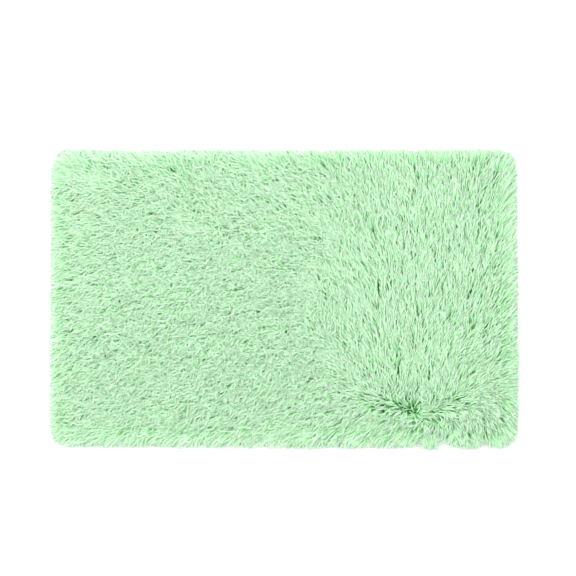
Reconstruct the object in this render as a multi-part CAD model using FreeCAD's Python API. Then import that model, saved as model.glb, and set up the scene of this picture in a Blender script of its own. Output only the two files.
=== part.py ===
"""Long-pile bath mat: plush on a knitted ground, a foam core and a grip-dotted base, bound at the edge.

Frame: millimetres, +Z up, +X along the mat's length, +Y along its width.
The origin is on the floor under the middle of the mat.
From the floor up the mat is built of a dotted base cloth, a foam core, the plush's knitted ground and
the pile. One tape folds round the edges of the three flat layers and a lockstitch runs through it.
"""

import FreeCAD, Part
import math
import os
from FreeCAD import Vector

# --- The flat layers, all cut to one outline -------------------------------------------------
BACKING_LENGTH = 800.0
BACKING_WIDTH = 500.0
BACKING_CORNER = 15.0          # radius of the outline's corners
BASE_THICKNESS = 0.6
FOAM_THICKNESS = 6.0
GROUND_THICKNESS = 1.0

# --- The pile --------------------------------------------------------------------------------
PILE_HEIGHT = 23.6             # from the ground knit to the crest of the leaning locks
PILE_OVERHANG = 15.0           # how far the locks hang past the flat layers
PILE_CORNER = 28.0             # radius of the pile's outline at a corner
PILE_SHOULDER = 13.0           # radius where the top turns down into the sides
PILE_HEM_GAP = 1.0             # air between the hanging tips and the floor
PILE_HEM_ROUND = 4.0           # radius under the hanging tips

# --- The binding tape ------------------------------------------------------------------------
TAPE_THICKNESS = 0.8
TAPE_LEG = 9.0                 # how far the tape reaches in over each face
SEAM_INSET = 5.5               # from the layers' edge to the seam
SEAM_DENT_WIDTH = 1.6          # the dent that the tight thread pulls into the tape

# --- Threads ---------------------------------------------------------------------------------
THREAD_WIDTH = 0.6             # a sewn thread is pressed flat
THREAD_THICKNESS = 0.4
THREAD_INSET = 0.05            # how deep the thread lies below the tape's face
SEAM_DENT_DEPTH = THREAD_INSET + THREAD_THICKNESS
STITCH_PITCH = 5.0
STITCH_GAP = 1.0               # cloth showing between one stitch and the next

# --- Grip dots -------------------------------------------------------------------------------
DOT_DIAMETER = 8.0
DOT_PITCH = 24.0
DOT_CLEARANCE = 2.0            # bare cloth between a dot and the tape or the label

# --- The label -------------------------------------------------------------------------------
LABEL_LENGTH = 42.0
LABEL_WIDTH = 24.0
LABEL_THICKNESS = 0.3
LABEL_TAPE_GAP = 8.0           # from the tape to the label
LABEL_ALONG_SHARE = 0.5        # place along the mat, as a share of the half length
LABEL_SEAM_INSET = 2.5
LABEL_STITCHES = 5

# --- Levels, from the floor up ---------------------------------------------------------------
DOT_HEIGHT = TAPE_THICKNESS    # dots and tape stand on the floor together
BASE_Z = DOT_HEIGHT
FOAM_Z = BASE_Z + BASE_THICKNESS
GROUND_Z = FOAM_Z + FOAM_THICKNESS
PILE_Z = GROUND_Z + GROUND_THICKNESS
CREST_Z = PILE_Z + PILE_HEIGHT
TAPE_TOP_Z = PILE_Z + TAPE_THICKNESS

SAME_LEVEL = 1e-6              # two heights closer than this are the same height


def rounded_slab(inset, bottom, top, corner=None):
    """A flat slab with round corners, its outline set in from the layers' outline.

    A negative inset makes it larger. The corner follows the inset unless it is given.
    """
    length = BACKING_LENGTH - 2 * inset
    width = BACKING_WIDTH - 2 * inset
    radius = BACKING_CORNER - inset if corner is None else corner
    slab = Part.makeBox(length, width, top - bottom, Vector(-length / 2, -width / 2, bottom))
    uprights = [e for e in slab.Edges if abs(e.tangentAt(e.FirstParameter).z) > 0.5]
    return slab.makeFillet(radius, uprights) if radius > 0 else slab


def rounded_ring(outer_inset, inner_inset, bottom, top):
    """A flat ring between two insets of the layers' outline."""
    return rounded_slab(outer_inset, bottom, top).cut(rounded_slab(inner_inset, bottom, top))


def edges_at(shape, level):
    """The edges of a shape that lie flat at one height."""
    boxes = [(edge, edge.BoundBox) for edge in shape.Edges]
    return [edge for edge, box in boxes if max(abs(box.ZMin - level), abs(box.ZMax - level)) < SAME_LEVEL]


def ground_knit():
    """The plush's own knitted ground, which the locks are rooted in."""
    return rounded_slab(0, GROUND_Z, PILE_Z)


def foam_core():
    """The soft sponge sheet between the plush and the base."""
    return rounded_slab(0, FOAM_Z, GROUND_Z)


def base_cloth():
    """The cloth underneath, which carries the grip dots."""
    return rounded_slab(0, BASE_Z, FOAM_Z)


def plush_pile():
    """The outer shape of the pile: it covers the ground and the tape, and hangs down past the edge."""
    hem_z = PILE_HEM_GAP
    pile = rounded_slab(-PILE_OVERHANG, hem_z, CREST_Z, PILE_CORNER)
    pile = pile.makeFillet(PILE_SHOULDER, edges_at(pile, CREST_Z))
    pile = pile.makeFillet(PILE_HEM_ROUND, edges_at(pile, hem_z))
    layers = rounded_slab(-TAPE_THICKNESS, 0, PILE_Z)
    tape_leg = rounded_ring(-TAPE_THICKNESS, TAPE_LEG, PILE_Z, TAPE_TOP_Z)
    return pile.cut(layers).cut(tape_leg)


def edge_binding():
    """The tape folded round the layers' edge, with the seam's dent in its upper and lower leg."""
    tape = rounded_slab(-TAPE_THICKNESS, 0, TAPE_TOP_Z)
    tape = tape.cut(rounded_slab(0, BASE_Z, PILE_Z))
    tape = tape.cut(rounded_slab(TAPE_LEG, 0, BASE_Z)).cut(rounded_slab(TAPE_LEG, PILE_Z, TAPE_TOP_Z))
    near = SEAM_INSET - SEAM_DENT_WIDTH / 2
    far = SEAM_INSET + SEAM_DENT_WIDTH / 2
    lower_dent = rounded_ring(near, far, 0, SEAM_DENT_DEPTH)
    upper_dent = rounded_ring(near, far, TAPE_TOP_Z - SEAM_DENT_DEPTH, TAPE_TOP_Z)
    return tape.cut(lower_dent).cut(upper_dent)


def seam_path():
    """The closed line of the binding's seam, at floor level."""
    outline = rounded_slab(SEAM_INSET, 0, 1)
    return Part.Wire(Part.__sortEdges__(edges_at(outline, 0)))


def lay_stitch(start, end):
    """One stitch, a straight length of flattened thread whose underside runs from start to end."""
    run = end - start
    stitch = Part.makeBox(run.Length, THREAD_WIDTH, THREAD_THICKNESS, Vector(0, -THREAD_WIDTH / 2, 0))
    stitch.rotate(Vector(0, 0, 0), Vector(0, 0, 1), math.degrees(math.atan2(run.y, run.x)))
    return stitch.translated(start)


def seam_stitches(level):
    """Every stitch of the binding's seam, with the thread's underside at one height."""
    path = seam_path()
    count = round(path.Length / STITCH_PITCH)
    marks = path.discretize(Number=count + 1)
    thread_share = 1 - STITCH_GAP * count / path.Length
    lift = Vector(0, 0, level)
    stitches = []
    for start, end in zip(marks, marks[1:]):
        middle = (start + end) / 2
        half = (end - start) / 2 * thread_share
        stitches.append(lay_stitch(middle - half + lift, middle + half + lift))
    return Part.makeCompound(stitches)


def label_box():
    """The label's low corner and high corner on the underside, as (x, y) pairs."""
    left = BACKING_LENGTH / 2 * LABEL_ALONG_SHARE
    low = -BACKING_WIDTH / 2 + TAPE_LEG + LABEL_TAPE_GAP
    return (left, low), (left + LABEL_LENGTH, low + LABEL_WIDTH)


def care_label():
    """The blank woven label, flat against the base cloth."""
    (left, low), _ = label_box()
    corner = Vector(left, low, BASE_Z - LABEL_THICKNESS)
    return Part.makeBox(LABEL_LENGTH, LABEL_WIDTH, LABEL_THICKNESS, corner)


def label_stitch():
    """The two short rows of stitches that hold the label's ends."""
    (left, low), (right, _) = label_box()
    level = BASE_Z - LABEL_THICKNESS - THREAD_THICKNESS
    run = (LABEL_WIDTH - STITCH_GAP) / LABEL_STITCHES
    stitches = []
    for x in (left + LABEL_SEAM_INSET, right - LABEL_SEAM_INSET):
        for i in range(LABEL_STITCHES):
            start = Vector(x, low + STITCH_GAP + i * run, level)
            end = start + Vector(0, run - STITCH_GAP, 0)
            stitches.append(lay_stitch(start, end))
    return Part.makeCompound(stitches)


def dot_fits(x, y):
    """Whether a dot here lies clear of the binding tape and of the label."""
    reach = DOT_DIAMETER / 2 + DOT_CLEARANCE
    in_x = abs(x) + reach <= BACKING_LENGTH / 2 - TAPE_LEG
    in_y = abs(y) + reach <= BACKING_WIDTH / 2 - TAPE_LEG
    (left, low), (right, high) = label_box()
    off_x = max(left - x, x - right, 0)
    off_y = max(low - y, y - high, 0)
    return in_x and in_y and math.hypot(off_x, off_y) >= reach


def grip_dots():
    """The field of moulded grip dots, in staggered rows with one dot at the mat's middle."""
    row_pitch = DOT_PITCH * math.sqrt(3) / 2
    columns = math.ceil(BACKING_LENGTH / 2 / DOT_PITCH)
    rows = math.ceil(BACKING_WIDTH / 2 / row_pitch)
    dot = Part.makeCylinder(DOT_DIAMETER / 2, DOT_HEIGHT)
    dots = []
    for row in range(-rows, rows + 1):
        shift = DOT_PITCH / 2 if row % 2 else 0.0
        for column in range(-columns, columns + 1):
            x, y = column * DOT_PITCH + shift, row * row_pitch
            if dot_fits(x, y):
                dots.append(dot.translated(Vector(x, y, 0)))
    return Part.makeCompound(dots)


def main():
    """Build every piece and write it to its own file."""
    upper_thread_z = TAPE_TOP_Z - THREAD_INSET - THREAD_THICKNESS
    nodes = {
        "plush_pile": plush_pile(),
        "ground_knit": ground_knit(),
        "foam_core": foam_core(),
        "base_cloth": base_cloth(),
        "grip_dots": grip_dots(),
        "edge_binding": edge_binding(),
        "binding_stitch_upper": seam_stitches(upper_thread_z),
        "binding_stitch_under": seam_stitches(THREAD_INSET),
        "care_label": care_label(),
        "label_stitch": label_stitch(),
    }
    os.makedirs("parts", exist_ok=True)
    for name, shape in nodes.items():
        shape.exportStep(f"parts/{name}.step")
        box = shape.BoundBox
        print(f"{name}: {len(shape.Solids)} solids, {box.XLength:.1f} x {box.YLength:.1f} mm, "
              f"z {box.ZMin:.2f} to {box.ZMax:.2f}, {shape.Volume / 1000:.1f} cm3, valid {shape.isValid()}")


main()
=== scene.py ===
"""Dress a long-pile bath mat around its CAD frame.

The mat is plush on a knitted ground, laid on a foam core and a dotted base cloth, with a tape sewn round
the edge. Each layer is one class below. The frame is in metres, +Z up, with the origin on the floor under
the middle of the mat; the classes hold their sizes in millimetres, as a maker would write them.
"""

import logging
import math
from dataclasses import astuple, dataclass
from enum import Enum

import bpy
import numpy as np
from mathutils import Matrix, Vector


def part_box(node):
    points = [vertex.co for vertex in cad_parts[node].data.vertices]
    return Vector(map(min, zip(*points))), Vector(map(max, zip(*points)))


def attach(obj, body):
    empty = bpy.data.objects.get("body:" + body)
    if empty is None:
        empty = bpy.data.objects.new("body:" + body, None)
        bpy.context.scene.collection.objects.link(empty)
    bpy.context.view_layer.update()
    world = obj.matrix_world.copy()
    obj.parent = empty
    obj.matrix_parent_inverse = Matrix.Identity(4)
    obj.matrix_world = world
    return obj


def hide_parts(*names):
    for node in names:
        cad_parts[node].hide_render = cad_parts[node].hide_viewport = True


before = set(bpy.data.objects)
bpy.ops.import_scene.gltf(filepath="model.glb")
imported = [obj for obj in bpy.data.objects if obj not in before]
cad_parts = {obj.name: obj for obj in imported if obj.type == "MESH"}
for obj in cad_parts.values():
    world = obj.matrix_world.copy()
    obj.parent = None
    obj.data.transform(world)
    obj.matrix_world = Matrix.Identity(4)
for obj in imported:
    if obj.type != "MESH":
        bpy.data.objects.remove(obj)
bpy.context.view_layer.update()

MM = 0.001
BODY = "root"
BAKE_MAP = "OFBake"
ONE_BAND = math.pi / 10         # the wave texture's scale that gives one band to each unit
FULL_TURN = 2 * math.pi
LAYERS_CORNER = 15.0            # radius of the flat layers' corners

log = logging.getLogger("bath_mat")


# --- Colour, nodes and meshes -----------------------------------------------------------------

def linear(hex_colour: str) -> tuple[float, float, float, float]:
    """Turn an sRGB hex colour into linear RGBA.

    Args:
        hex_colour: Six hex digits after a hash sign.

    Returns:
        The linear red, green, blue and an alpha of one.
    """
    parts = [int(hex_colour[i:i + 2], 16) / 255 for i in (1, 3, 5)]
    return (*[c / 12.92 if c <= 0.04045 else ((c + 0.055) / 1.055) ** 2.4 for c in parts], 1.0)


def add_node(tree: bpy.types.NodeTree, kind: str, settings: dict | None = None,
             links: dict | None = None) -> bpy.types.Node:
    """Add one node, with its settings and its incoming links.

    Args:
        tree: The node tree to add to.
        kind: The node's type name.
        settings: Property or input names, or input numbers, with their values. "stops" fills a colour ramp.
        links: Input names or numbers, with the output socket that feeds each.

    Returns:
        The new node.
    """
    node = tree.nodes.new(kind)
    for name, value in (settings or {}).items():
        if name == "stops":
            ramp = node.color_ramp.elements
            while len(ramp) < len(value):
                ramp.new(1.0)
            for stop, (position, colour) in zip(ramp, value):
                stop.position, stop.color = position, colour
        elif isinstance(name, str) and hasattr(node, name):
            setattr(node, name, value)
        else:
            node.inputs[name].default_value = value
    for name, socket in (links or {}).items():
        tree.links.new(socket, node.inputs[name])
    return node


def new_material(name: str) -> tuple[bpy.types.Material, bpy.types.NodeTree, bpy.types.Node]:
    """Make an empty node material with its Principled shader.

    Args:
        name: The material's name.

    Returns:
        The material, its node tree and its shader node.
    """
    material = bpy.data.materials.new(name)
    material.use_nodes = True
    tree = material.node_tree
    return material, tree, tree.nodes["Principled BSDF"]


def mesh_piece(name: str, points: np.ndarray, faces: np.ndarray, material: bpy.types.Material,
               slot: str, uv: np.ndarray | None = None) -> bpy.types.Object:
    """Make a smooth-shaded piece of the mat from points and equal-sized faces.

    Args:
        name: The piece's name.
        points: One row of x, y and z in metres for each point.
        faces: One row of point numbers for each face.
        material: The finish.
        slot: The record's material slot that the finish belongs to. Not used.
        uv: One row of u and v for each point, or None.

    Returns:
        The new object, riding on the mat's one body.
    """
    mesh = bpy.data.meshes.new(name)
    count, corners = faces.shape
    mesh.vertices.add(len(points))
    mesh.vertices.foreach_set("co", np.ascontiguousarray(points, dtype=np.float32).ravel())
    mesh.loops.add(count * corners)
    mesh.loops.foreach_set("vertex_index", np.ascontiguousarray(faces, dtype=np.int32).ravel())
    mesh.polygons.add(count)
    mesh.polygons.foreach_set("loop_start", np.arange(0, count * corners, corners, dtype=np.int32))
    mesh.update(calc_edges=True)
    mesh.polygons.foreach_set("use_smooth", np.ones(count, dtype=bool))
    if uv is not None:
        layer = mesh.uv_layers.new(name=BAKE_MAP)
        layer.data.foreach_set("uv", uv[faces.ravel()].astype(np.float32).ravel())
    piece = bpy.data.objects.new(name, mesh)
    bpy.context.scene.collection.objects.link(piece)
    mesh.materials.append(material)
    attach(piece, BODY)
    return piece


def facing(turn: np.ndarray) -> np.ndarray:
    """Turn angles in radians into unit directions, as rows of x and y."""
    return np.stack([np.cos(turn), np.sin(turn)], axis=1)


def to_unit(rows: np.ndarray) -> np.ndarray:
    """Scale each row to a length of one."""
    return rows / np.linalg.norm(rows, axis=-1, keepdims=True)


def smooth_step(value: np.ndarray) -> np.ndarray:
    """Ease a 0 to 1 ramp at both ends, and clip what lies outside it."""
    value = np.clip(value, 0.0, 1.0)
    return value * value * (3 - 2 * value)


@dataclass(frozen=True)
class Outline:
    """A rectangle with round corners, centred on the origin, in millimetres."""

    half_length: float
    half_width: float
    corner: float

    def distance(self, points: np.ndarray) -> np.ndarray:
        """How far points lie outside the outline, and below zero how far inside.

        Args:
            points: Rows of x and y, with any leading shape.

        Returns:
            One distance for each point.
        """
        core = np.array([self.half_length, self.half_width]) - self.corner
        past = np.abs(points) - core
        outside = np.linalg.norm(np.maximum(past, 0.0), axis=-1)
        return outside + np.minimum(past.max(axis=-1), 0.0) - self.corner

    def outward(self, points: np.ndarray, reach: float) -> np.ndarray:
        """The way out of the outline, turned gradually where two sides are both near.

        Args:
            points: Rows of x and y.
            reach: How far inside a side still counts.

        Returns:
            One unit direction for each point, or zero far from every side.
        """
        core = np.array([self.half_length, self.half_width]) - reach
        past = np.maximum(np.abs(points) - core, 0.0) * np.sign(points)
        size = np.linalg.norm(past, axis=-1, keepdims=True)
        return np.divide(past, size, out=np.zeros_like(past), where=size > 1e-9)

    def inset(self, by: float, least_corner: float = 0.0) -> "Outline":
        """The outline that lies inside this one.

        Args:
            by: How far in it lies.
            least_corner: The smallest corner radius that it keeps.

        Returns:
            The new outline.
        """
        return Outline(self.half_length - by, self.half_width - by, max(self.corner - by, least_corner))

    def around(self) -> float:
        """The length of the outline."""
        straight = 4 * (self.half_length + self.half_width - 2 * self.corner)
        return straight + FULL_TURN * self.corner

    def walk(self, steps: int) -> tuple[np.ndarray, np.ndarray]:
        """Go once round the outline in even steps.

        Args:
            steps: How many points to take.

        Returns:
            The points, and the outward direction at each.
        """
        straight_x = 2 * (self.half_length - self.corner)
        straight_y = 2 * (self.half_width - self.corner)
        arc = math.pi / 2 * self.corner
        runs = np.array([straight_y, arc, straight_x, arc] * 2)
        starts = np.concatenate([[0.0], np.cumsum(runs)])
        along = np.arange(steps) / steps * starts[-1]
        run = np.clip(np.searchsorted(starts, along, side="right") - 1, 0, 7)
        share = (along - starts[run]) / runs[run]
        quarter = run // 2
        turn = quarter * math.pi / 2 + np.where(run % 2, share * math.pi / 2, 0.0)
        out = facing(turn)
        side = np.where(quarter % 2, straight_x, straight_y) / 2
        slide = np.where(run % 2, side, (2 * share - 1) * side)
        square_out = facing(quarter * math.pi / 2)
        ahead = np.stack([-square_out[:, 1], square_out[:, 0]], axis=1)
        stand = np.where(quarter % 2, straight_y, straight_x) / 2
        centre = square_out * stand[:, None] + ahead * slide[:, None]
        return centre + out * self.corner, out


class Unevenness:
    """A smooth random field over the mat, from -1 to 1."""

    def __init__(self, rng: np.random.Generator, wave: float, span: float = 1200.0) -> None:
        """Draw the field.

        Args:
            rng: The source of random numbers.
            wave: The distance between one high and the next, roughly, in millimetres.
            span: The width of the square that the field covers, in millimetres.
        """
        self.cell = wave / 2
        self.span = span
        count = int(span / self.cell) + 3
        self.knots = rng.uniform(-1.0, 1.0, (count, count))

    def at(self, points: np.ndarray) -> np.ndarray:
        """Read the field.

        Args:
            points: Rows of x and y in millimetres.

        Returns:
            One value for each point.
        """
        place = (points + self.span / 2) / self.cell
        whole = np.floor(place).astype(int)
        part = smooth_step(place - whole)
        x, y = whole[..., 0], whole[..., 1]
        u, v = part[..., 0], part[..., 1]
        low = self.knots[x, y] * (1 - u) + self.knots[x + 1, y] * u
        high = self.knots[x, y + 1] * (1 - u) + self.knots[x + 1, y + 1] * u
        return low * (1 - v) + high * v


# --- Finishes ---------------------------------------------------------------------------------

@dataclass(frozen=True)
class PolyesterPlush:
    """Crimped polyester pile, heat-set into locks: soft, faintly glossy, with painted shade deepening the
    green towards the root and painted light paling the tips.
    """

    # Colours from root to tip: painted shade, deepest and greenest at the root where the pile lies in shade,
    # then painted light on the pale tips
    root: str = "#88EE8A"
    shade: str = "#B6FBB7"
    body: str = "#D8FED9"
    tip: str = "#E7FFE8"
    tones: int = 64             # separate dye tones among the locks
    tone_range: tuple[float, float] = (0.82, 1.13)      # the darkest and the lightest, as shares
    fibres_across: float = 5.0  # fibre bundles that show across one strand
    fibre_lengths: float = 3.0  # and along it
    fibre_range: tuple[float, float] = (0.94, 1.06)

    def make(self) -> bpy.types.Material:
        """Build the material. It reads only the strand's own map: tone across, root to tip upwards.

        Returns:
            The material.
        """
        material, tree, shader = new_material("polyester_plush_crimped")
        place = add_node(tree, "ShaderNodeUVMap", {"uv_map": BAKE_MAP})
        axes = add_node(tree, "ShaderNodeSeparateXYZ", links={0: place.outputs[0]})
        column = add_node(tree, "ShaderNodeMath", {"operation": "MULTIPLY", 1: float(self.tones)},
                          {0: axes.outputs[0]})
        number = add_node(tree, "ShaderNodeMath", {"operation": "FLOOR"}, {0: column.outputs[0]})
        dye = add_node(tree, "ShaderNodeTexWhiteNoise", {"noise_dimensions": "1D"}, {"W": number.outputs[0]})
        # painted shade and light: the ramp darkens the strand towards its root and pales it at its lit tip
        depth = add_node(tree, "ShaderNodeValToRGB",
                         {"stops": [(0.1, linear(self.root)), (0.5, linear(self.shade)),
                                    (0.75, linear(self.body)), (1.0, linear(self.tip))]},
                         {0: axes.outputs[1]})
        stretch = add_node(tree, "ShaderNodeVectorMath",
                           {"operation": "MULTIPLY",
                            1: (self.tones * self.fibres_across, self.fibre_lengths, 1.0)},
                           {0: place.outputs[0]})
        fibre = add_node(tree, "ShaderNodeTexNoise", {"Scale": 1.0, "Detail": 2.0}, {0: stretch.outputs[0]})
        value, streak = (add_node(tree, "ShaderNodeMapRange", {"To Min": low, "To Max": high},
                                  {0: source.outputs[0]})
                         for source, (low, high) in ((dye, self.tone_range), (fibre, self.fibre_range)))
        shade = add_node(tree, "ShaderNodeMath", {"operation": "MULTIPLY"},
                         {0: value.outputs[0], 1: streak.outputs[0]})
        tint = add_node(tree, "ShaderNodeHueSaturation",
                        links={"Value": shade.outputs[0], "Color": depth.outputs[0]})
        tree.links.new(tint.outputs[0], shader.inputs["Base Color"])
        shader.inputs["Roughness"].default_value = 0.6
        shader.inputs["Specular IOR Level"].default_value = 0.2
        shader.inputs["Sheen Weight"].default_value = 0.1
        shader.inputs["Sheen Roughness"].default_value = 0.5
        return material


def over_and_under(tree: bpy.types.NodeTree, across: float, along: float) -> bpy.types.NodeSocket:
    """Add the height of threads that pass over and under each other, from 0 to 1.

    Args:
        tree: The node tree to add to.
        across: Spacing of the threads along X, in millimetres.
        along: Spacing of the threads along Y, in millimetres.

    Returns:
        The socket that gives the height.
    """
    place = add_node(tree, "ShaderNodeTexCoord")
    counted = add_node(tree, "ShaderNodeVectorMath",
                       {"operation": "MULTIPLY", 1: (1 / (across * MM), 1 / (along * MM), 1.0)},
                       {0: place.outputs["Object"]})
    bands = [add_node(tree, "ShaderNodeTexWave",
                      {"bands_direction": way, "Scale": ONE_BAND, "Distortion": 0.35, "Detail Scale": 0.6},
                      {0: counted.outputs[0]}) for way in ("X", "Y")]
    height = add_node(tree, "ShaderNodeMath", {"operation": "MULTIPLY"},
                      {0: bands[0].outputs["Fac"], 1: bands[1].outputs["Fac"]})
    return height.outputs[0]


def mottle(tree: bpy.types.NodeTree, patch: float, detail: float = 4.0) -> bpy.types.NodeSocket:
    """Add a soft cloudy unevenness, from 0 to 1.

    Args:
        tree: The node tree to add to.
        patch: Width of one cloud in millimetres.
        detail: How many finer layers lie in it.

    Returns:
        The socket that gives it.
    """
    place = add_node(tree, "ShaderNodeTexCoord")
    cloud = add_node(tree, "ShaderNodeTexNoise", {"Scale": 1 / (patch * MM), "Detail": detail},
                     {0: place.outputs["Object"]})
    return cloud.outputs[0]


def colour_by(tree: bpy.types.NodeTree, shader: bpy.types.Node, height: bpy.types.NodeSocket,
              stops: list[tuple[float, str]]) -> None:
    """Colour a shader by a height.

    Args:
        tree: The node tree.
        shader: The Principled shader.
        height: The socket that the colours follow.
        stops: Heights with their sRGB colours.
    """
    ramp = add_node(tree, "ShaderNodeValToRGB", {"stops": [(at, linear(hue)) for at, hue in stops]},
                    {0: height})
    tree.links.new(ramp.outputs[0], shader.inputs["Base Color"])


def raise_by(tree: bpy.types.NodeTree, shader: bpy.types.Node, height: bpy.types.NodeSocket,
             rise: float, strength: float = 0.7) -> None:
    """Give a shader the relief of a height.

    Args:
        tree: The node tree.
        shader: The Principled shader.
        height: The socket that gives the height.
        rise: How high a height of one stands, in millimetres.
        strength: How strongly it shows.
    """
    relief = add_node(tree, "ShaderNodeBump", {"Strength": strength, "Distance": rise * MM},
                      {"Height": height})
    tree.links.new(relief.outputs[0], shader.inputs["Normal"])


def roughen_by(tree: bpy.types.NodeTree, shader: bpy.types.Node, height: bpy.types.NodeSocket,
               low: float, high: float) -> None:
    """Let a shader's roughness follow a height, from low to high."""
    rough = add_node(tree, "ShaderNodeMapRange", {"To Min": low, "To Max": high}, {0: height})
    tree.links.new(rough.outputs[0], shader.inputs["Roughness"])


@dataclass(frozen=True)
class KnittedGround:
    """Warp-knitted polyester ground: small loops in columns, dyed with the pile, dull and slightly hairy."""

    # painted shade in the hollows between the loops, then the loops' own colour
    hollow_shade: str = "#84CF8C"
    loop: str = "#B4EDB6"
    wale: float = 2.0           # drawn coarser than the real 1.2 mm, so that the loops show
    course: float = 1.6

    def make(self) -> bpy.types.Material:
        """Build the material: loop relief, with painted shade darkening the hollows between loops.

        Returns:
            The material.
        """
        material, tree, shader = new_material("warp_knitted_polyester")
        loops = over_and_under(tree, self.wale, self.course)
        # painted shade: darker where the loops dip into hollows
        colour_by(tree, shader, loops, [(0.0, self.hollow_shade), (0.5, self.loop), (1.0, self.loop)])
        raise_by(tree, shader, loops, 0.35)
        roughen_by(tree, shader, mottle(tree, 30.0), 0.82, 0.95)
        shader.inputs["Sheen Weight"].default_value = 0.15
        return material


@dataclass(frozen=True)
class CellularFoam:
    """Slab-cut polyurethane foam: open cells that catch small shadows, matt, yellowed a little in patches."""

    # painted shade inside the cells, then the cell walls' own colour
    pore_shade: str = "#D9CDA4"
    wall: str = "#F4ECD2"
    cell: float = 1.6           # drawn coarser than the real 0.8 mm, so that the cells show

    def make(self) -> bpy.types.Material:
        """Build the material: cell walls stand over round pores, which are painted darker as the shade inside
        the cells.

        Returns:
            The material.
        """
        material, tree, shader = new_material("polyurethane_foam_slab_cut")
        place = add_node(tree, "ShaderNodeTexCoord")
        cells = add_node(tree, "ShaderNodeTexVoronoi", {"Scale": 1 / (self.cell * MM), "Randomness": 0.9},
                         {0: place.outputs["Object"]})
        # painted shade: the pores are darker than the cell walls
        colour_by(tree, shader, cells.outputs["Distance"], [(0.1, self.pore_shade), (0.55, self.wall)])
        raise_by(tree, shader, cells.outputs["Distance"], 0.5)
        roughen_by(tree, shader, mottle(tree, 60.0), 0.88, 0.98)
        return material


@dataclass(frozen=True)
class WovenBase:
    """Plain-woven polyester base cloth: a flat square weave, pale, with a faint calendered gloss."""

    # painted shade in the gaps between threads, the threads' own colour, and a painted highlight on their
    # crowns
    gap: str = "#A9C4AC"
    thread: str = "#DCEBDB"
    crown_highlight: str = "#EAF3E8"
    spacing: float = 1.5        # drawn coarser than the real 0.5 mm, so that the weave shows

    def make(self) -> bpy.types.Material:
        """Build the material: threads over and under, with painted shade in the gaps and a painted highlight
        on the crowns, glossier where the calender pressed.

        Returns:
            The material.
        """
        material, tree, shader = new_material("polyester_plain_weave")
        weave = over_and_under(tree, self.spacing, self.spacing)
        # painted shade in the gaps and a painted highlight on the crowns, by the weave's height
        colour_by(tree, shader, weave, [(0.0, self.gap), (0.35, self.thread), (1.0, self.crown_highlight)])
        raise_by(tree, shader, weave, 0.25)
        roughen_by(tree, shader, mottle(tree, 45.0), 0.6, 0.8)
        shader.inputs["Sheen Weight"].default_value = 0.1
        return material


@dataclass(frozen=True)
class MouldedGrip:
    """Thermoplastic rubber, moulded onto the cloth: milky and soft-edged, with a satin skin."""

    deep: str = "#CFE3D2"
    skin: str = "#EEF6EE"
    tones: int = 32             # shots of the mould that differ a little

    def make(self) -> bpy.types.Material:
        """Build the material. It reads only the dot's own map.

        Returns:
            The material.
        """
        material, tree, shader = new_material("thermoplastic_rubber_moulded")
        place = add_node(tree, "ShaderNodeUVMap", {"uv_map": BAKE_MAP})
        scaled = add_node(tree, "ShaderNodeVectorMath", {"operation": "MULTIPLY", 1: (self.tones, 1.0, 1.0)},
                          {0: place.outputs[0]})
        cloud = add_node(tree, "ShaderNodeTexNoise", {"Scale": 2.2, "Detail": 5.0}, {0: scaled.outputs[0]})
        grain = add_node(tree, "ShaderNodeTexNoise", {"Scale": 28.0, "Detail": 2.0}, {0: scaled.outputs[0]})
        colour_by(tree, shader, cloud.outputs[0], [(0.3, self.deep), (0.65, self.skin)])
        raise_by(tree, shader, grain.outputs[0], 0.08, 0.4)
        roughen_by(tree, shader, cloud.outputs[0], 0.32, 0.5)
        shader.inputs["Subsurface Weight"].default_value = 0.15
        shader.inputs["Subsurface Scale"].default_value = 0.0015
        return material


@dataclass(frozen=True)
class RibbedTape:
    """Grosgrain tape, woven polyester: ribs across it, dyed to the pile, dry and faintly lustrous."""

    # painted shade where the threads dip, then the ribs' own colour
    valley_shade: str = "#93D89A"
    rib: str = "#C2F3C3"
    pick: float = 0.9           # threads over the ribs, drawn coarser than the real 0.35 mm

    def make(self) -> bpy.types.Material:
        """Build the material: the ribs are in the tape's shape, and this adds the threads that cross them,
        with painted shade where they dip.

        Returns:
            The material.
        """
        material, tree, shader = new_material("polyester_grosgrain_woven")
        threads = over_and_under(tree, self.pick, self.pick)
        fade = mottle(tree, 25.0)
        both = add_node(tree, "ShaderNodeMath", {"operation": "MULTIPLY_ADD", 1: 0.5}, {0: threads, 2: fade})
        # painted shade where the threads dip, mixed with a cloudy tone that differs at random
        colour_by(tree, shader, both.outputs[0], [(0.35, self.valley_shade), (0.85, self.rib)])
        raise_by(tree, shader, threads, 0.12)
        roughen_by(tree, shader, fade, 0.55, 0.72)
        shader.inputs["Sheen Weight"].default_value = 0.2
        return material


@dataclass(frozen=True)
class SpunThread:
    """Spun polyester sewing thread, two plies: dull, fuzzy, a shade deeper than the tape."""

    shade: str = "#6DB87A"
    light: str = "#A9E0AE"
    tones: int = 16             # lengths of thread that differ a little
    slant: float = 35.0         # degrees that the plies' fibres lean from the thread

    def make(self) -> bpy.types.Material:
        """Build the material. It reads only the thread's own map: round it across, along it upwards.

        Returns:
            The material.
        """
        material, tree, shader = new_material("spun_polyester_thread")
        place = add_node(tree, "ShaderNodeUVMap", {"uv_map": BAKE_MAP})
        slanted = add_node(tree, "ShaderNodeMapping",
                           {"Rotation": (0.0, 0.0, math.radians(self.slant)),
                            "Scale": (float(self.tones * 4), 9.0, 1.0)},
                           {0: place.outputs[0]})
        fibres = add_node(tree, "ShaderNodeTexNoise", {"Scale": 1.0, "Detail": 3.0}, {0: slanted.outputs[0]})
        colour_by(tree, shader, fibres.outputs[0], [(0.3, self.shade), (0.7, self.light)])
        raise_by(tree, shader, fibres.outputs[0], 0.05, 0.5)
        roughen_by(tree, shader, fibres.outputs[0], 0.6, 0.8)
        shader.inputs["Sheen Weight"].default_value = 0.3
        return material


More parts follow.
